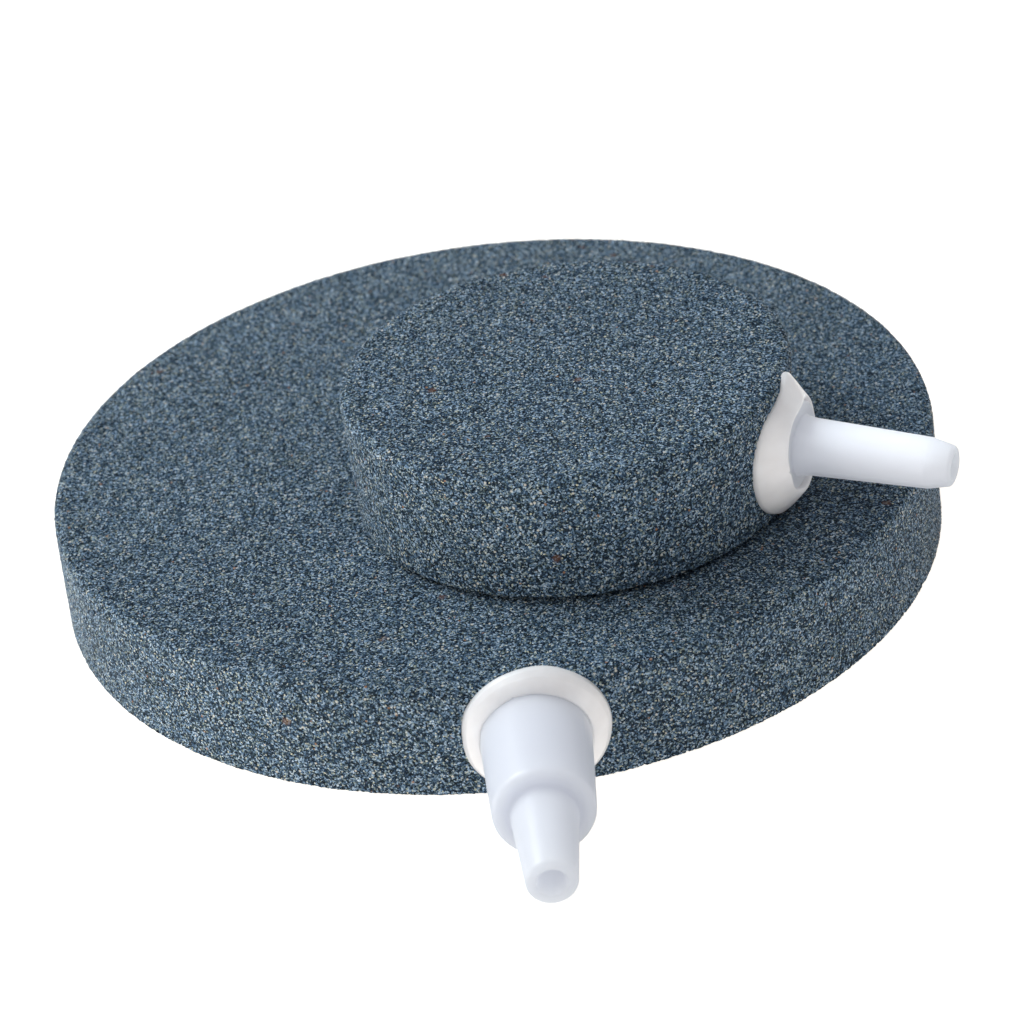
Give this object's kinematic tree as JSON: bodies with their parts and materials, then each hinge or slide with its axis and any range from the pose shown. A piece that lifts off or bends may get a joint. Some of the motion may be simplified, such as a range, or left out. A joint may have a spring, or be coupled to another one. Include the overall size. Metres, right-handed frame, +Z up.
{
  "type": "air stone",
  "caption": "Disc air stones of porous mineral grit, a small one lying on a large one, each with a glued hose nozzle, a sealant bead and a hollow air chamber.",
  "frame": {"origin": "centre of the large stone's underside", "axes": "+Z up, through the large stone; the large stone's hose nozzle points towards -Y"},
  "size_m": [0.0808, 0.1013, 0.0225],
  "materials": {
    "stone": "coarse matte blue-grey mineral grit",
    "base_stone": "coarse matte blue-grey mineral grit, pressed flat",
    "resin": "cured resin, semi-matte",
    "nozzle": "translucent white moulded plastic, satin",
    "sealant": "cured white sealant, soft gloss"
  },
  "bodies": {
    "large_stone": {"large_stone_cup": "stone", "large_base_plate": "base_stone", "large_seam_resin": "resin", "large_hose_nozzle": "nozzle", "large_sealant_bead": "sealant"},
    "small_stone": {"small_stone_cup": "stone", "small_base_plate": "base_stone", "small_seam_resin": "resin", "small_hose_nozzle": "nozzle", "small_sealant_bead": "sealant"}
  },
  "joints": [
    {"name": "small_stone_lift", "type": "slide", "parent": "large_stone", "child": "small_stone", "axis": [0, 0, 1], "range_m": [0, 0.03]}
  ]
}
